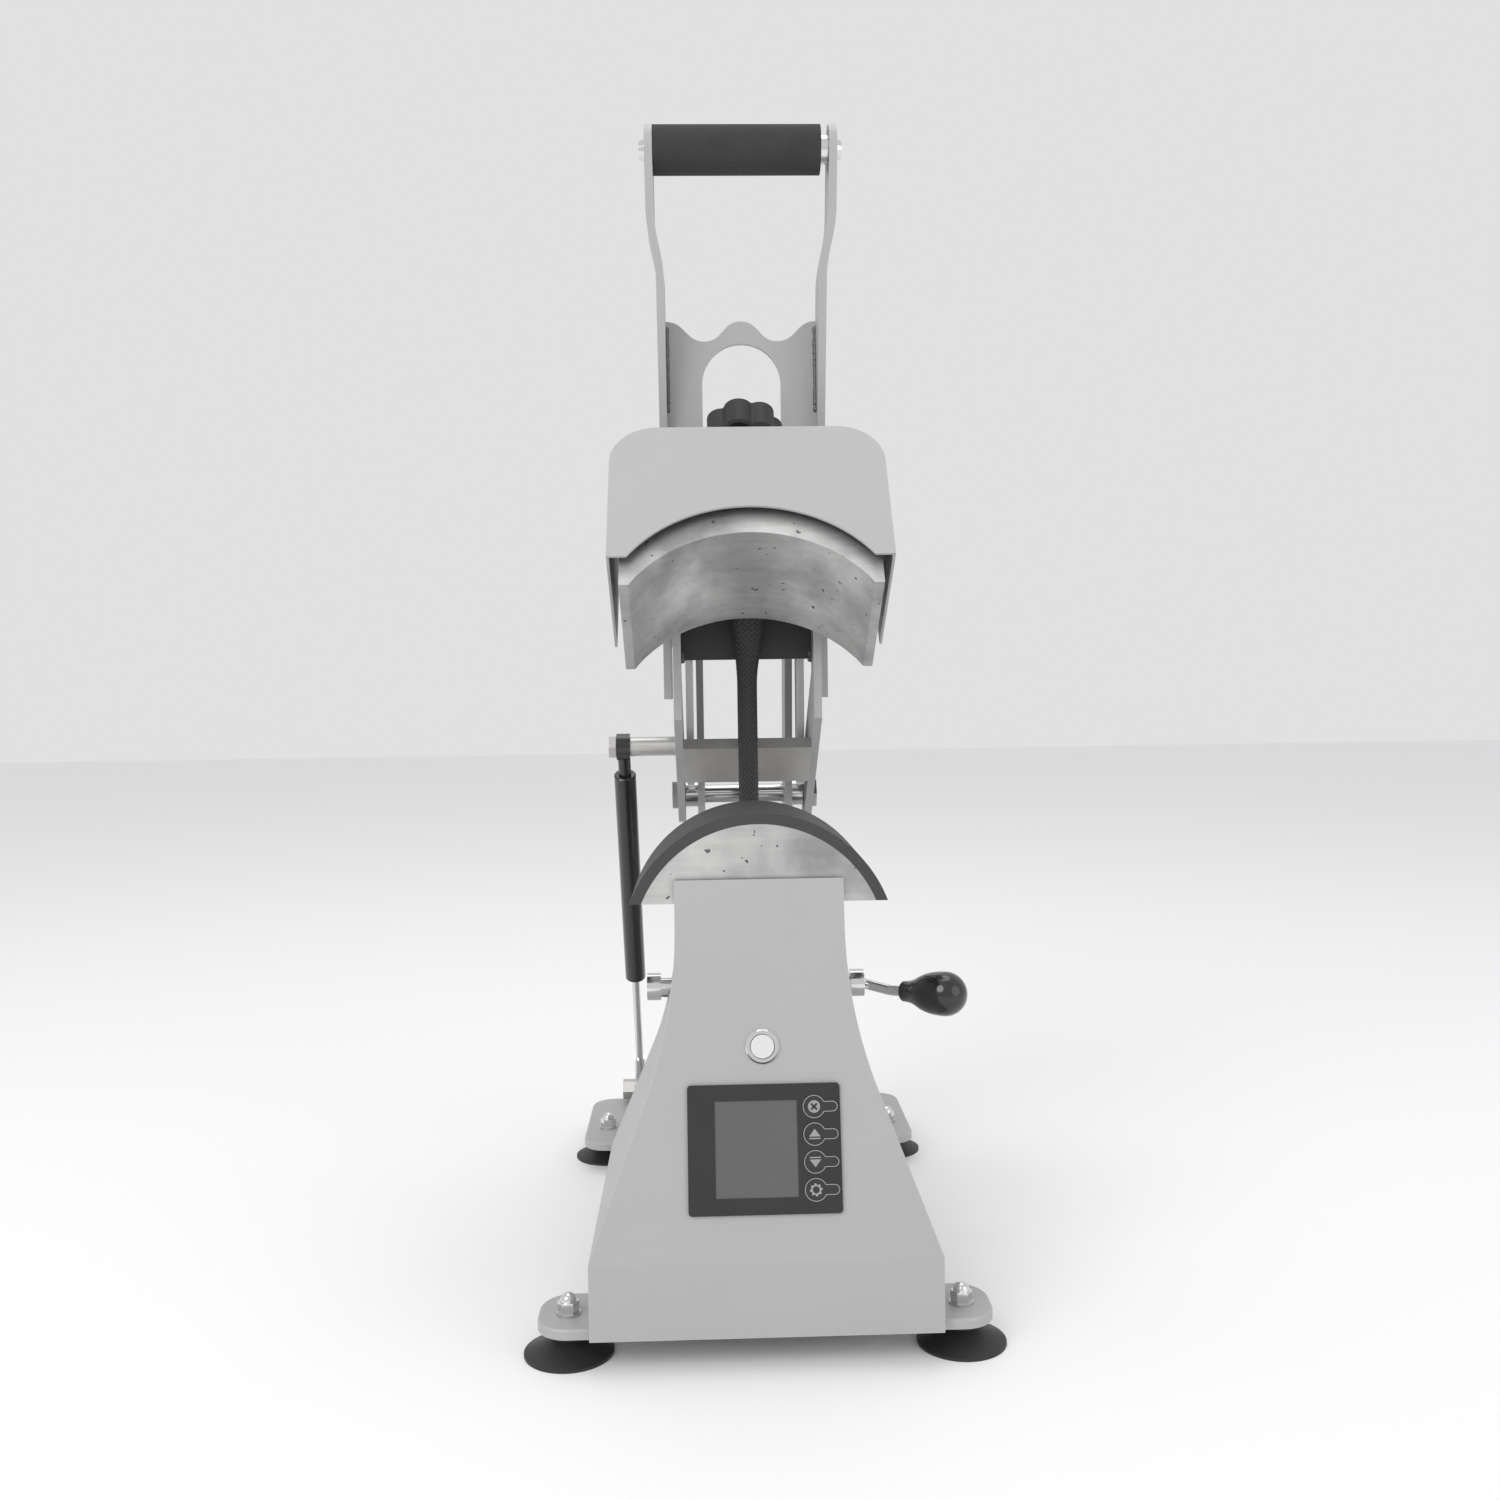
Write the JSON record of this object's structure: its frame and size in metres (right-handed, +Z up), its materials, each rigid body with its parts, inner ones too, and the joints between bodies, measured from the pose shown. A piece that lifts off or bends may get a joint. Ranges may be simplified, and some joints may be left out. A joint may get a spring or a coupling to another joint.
{
  "type": "cap heat press",
  "caption": "Bench heat press for caps, standing open: curved heating head on a lever beam over a curved lower platen, with a sloping control panel, pressure knob and padded pull handle.",
  "frame": {"origin": "on the table, under the middle of the press's overall width and depth", "axes": "+Z up, +X to the operator's right, +Y to the back; the operator stands on the -Y side"},
  "size_m": [0.258, 0.415, 0.704],
  "materials": {
    "grey_powder_coat": "satin powder coat",
    "black_rubber": "satin",
    "zinc_steel": "zinc plated",
    "chrome_steel": "bright",
    "black_lacquer": "gloss",
    "raw_aluminium": "as cast and milled",
    "silicone": "matte silicone",
    "black_plastic": "fine grain",
    "screen_glass": "clear window over an unlit display",
    "key_film": "printed film",
    "white_plastic": "gloss",
    "foam": "closed cell foam",
    "insulation": "fibre board",
    "braided_sleeve": "woven"
  },
  "bodies": {
    "base": {"front_foot_plate": "grey_powder_coat", "rear_foot_plate": "grey_powder_coat", "suction_cups": "black_rubber", "foot_studs": "zinc_steel", "foot_washers": "zinc_steel", "acorn_nuts": "chrome_steel", "base_channel": "grey_powder_coat", "rear_panel": "grey_powder_coat", "power_inlet": "black_plastic", "power_relay": "black_plastic", "front_cover": "grey_powder_coat", "cover_screws": "zinc_steel", "neck_post": "grey_powder_coat", "lower_platen": "raw_aluminium", "silicone_pad": "silicone", "platen_screws": "zinc_steel", "panel_overlay": "black_plastic", "lcd_screen": "screen_glass", "panel_keys": "key_film", "controller_case": "black_plastic", "button_bezel": "chrome_steel", "button_nut": "zinc_steel", "tower_plate_left": "grey_powder_coat", "tower_plate_right": "grey_powder_coat", "arm_shaft": "chrome_steel", "beam_shaft": "chrome_steel", "electromagnet": "zinc_steel", "magnet_shelf": "grey_powder_coat", "strut_bracket": "grey_powder_coat", "clamp_brackets": "grey_powder_coat", "loom_sleeve": "braided_sleeve"},
    "start_button": {"button_cap": "white_plastic"},
    "cap_clamp": {"clamp_lever": "chrome_steel", "clamp_knob": "black_plastic", "clamp_bail": "chrome_steel"},
    "head_beam": {"beam_plate_left": "grey_powder_coat", "beam_plate_right": "grey_powder_coat", "bridge_plate": "zinc_steel", "armature_plate": "zinc_steel", "link_pins": "chrome_steel", "strut_stud": "zinc_steel"},
    "press_head": {"heating_block": "raw_aluminium", "heater_rods": "chrome_steel", "thermocouple": "chrome_steel", "insulation_pad": "insulation", "carrier_plate": "zinc_steel", "head_cover": "grey_powder_coat", "head_cover_screws": "chrome_steel"},
    "screw_and_knob": {"pressure_screw": "zinc_steel", "pressure_knob": "black_plastic"},
    "pressure_link_pair": {"pressure_links": "zinc_steel"},
    "handle_frame": {"arm_left": "grey_powder_coat", "arm_right": "grey_powder_coat", "cross_plate": "grey_powder_coat", "arm_pins": "chrome_steel", "handle_tube": "chrome_steel", "foam_grip": "foam", "handle_bolts": "chrome_steel"},
    "strut_rod_body": {"strut_rod": "chrome_steel"},
    "strut_tube_body": {"strut_cylinder": "black_lacquer"}
  },
  "joints": [
    {"name": "beam_hinge", "type": "hinge", "parent": "base", "child": "head_beam", "pos_m": [0, 0.1001, 0.274], "axis": [1, 0, 0], "range_deg": [0, 35.7], "stiffness_Nm_per_rad": 4.5, "springref_deg": -171.89, "deforming": ["loom_sleeve"]},
    {"name": "handle_hinge", "type": "hinge", "parent": "base", "child": "handle_frame", "pos_m": [0, 0.0785, 0.4], "axis": [1, 0, 0], "range_deg": [0, 64.01]},
    {"name": "link_hinge", "type": "hinge", "parent": "head_beam", "child": "pressure_link_pair", "pos_m": [0, 0.061, 0.294], "axis": [1, 0, 0], "range_deg": [-39.8, 0]},
    {"name": "strut_foot_hinge", "type": "hinge", "parent": "base", "child": "strut_rod_body", "pos_m": [-0.083, 0.1955, 0.031], "axis": [1, 0, 0], "range_deg": [0, 6.3]},
    {"name": "strut_slide", "type": "slide", "parent": "strut_rod_body", "child": "strut_tube_body", "axis": [0, -0.4916, 0.8708], "range_m": [-0.0304, 0]},
    {"name": "head_feed", "type": "slide", "parent": "head_beam", "child": "press_head", "axis": [0, -0.5835, -0.8121], "range_m": [0, 0.006]},
    {"name": "knob_turn", "type": "hinge", "parent": "press_head", "child": "screw_and_knob", "pos_m": [0, -0.02668, 0.48331], "axis": [0, -0.5835, -0.8121], "range_deg": [0, 1440.1]},
    {"name": "start_button_press", "type": "slide", "parent": "base", "child": "start_button", "axis": [0, 0.9758, -0.2185], "range_m": [0, 0.0015], "stiffness_N_per_m": 300, "springref_m": -0.004},
    {"name": "clamp_hinge", "type": "hinge", "parent": "base", "child": "cap_clamp", "pos_m": [0, -0.0915, 0.176], "axis": [1, 0, 0], "range_deg": [0, 45]}
  ],
  "couplings": [
    {"joint": "handle_hinge", "follows": "beam_hinge", "ratio": 1.7927},
    {"joint": "link_hinge", "follows": "beam_hinge", "ratio": -1.114},
    {"joint": "strut_foot_hinge", "follows": "beam_hinge", "ratio": 0.17564},
    {"joint": "strut_slide", "follows": "beam_hinge", "m_per_rad": -0.048546},
    {"joint": "knob_turn", "follows": "head_feed", "rad_per_m": 4188.8}
  ]
}
